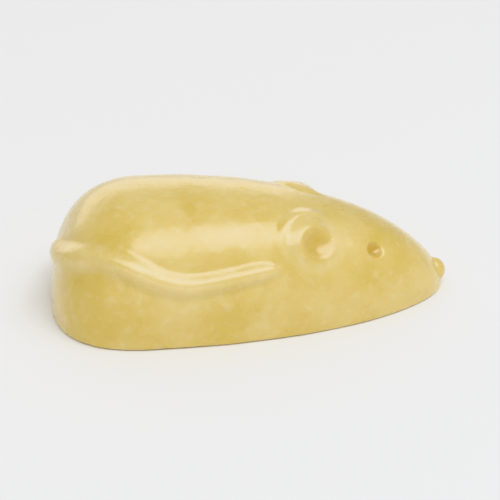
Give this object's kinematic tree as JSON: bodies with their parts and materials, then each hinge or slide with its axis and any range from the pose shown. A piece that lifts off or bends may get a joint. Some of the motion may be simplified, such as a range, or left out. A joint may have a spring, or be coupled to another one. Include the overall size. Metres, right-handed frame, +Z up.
{
  "type": "white chocolate mouse",
  "caption": "Moulded white chocolate mouse with a flat base, a domed teardrop body, round cupped ears, small pitted eyes, a nose bead and a tail in low relief along its right flank",
  "frame": {"origin": "on the flat base, under the middle of the sweet's bounding box", "axes": "+X towards the nose along the body, +Y towards the left flank, +Z up"},
  "size_m": [0.0376, 0.0186, 0.0117],
  "materials": {
    "white_chocolate": "waxy moulded white chocolate, softly glossy, pale buttery cream, slightly translucent"
  },
  "bodies": {
    "root": {"mouse": "white_chocolate"}
  },
  "joints": []
}
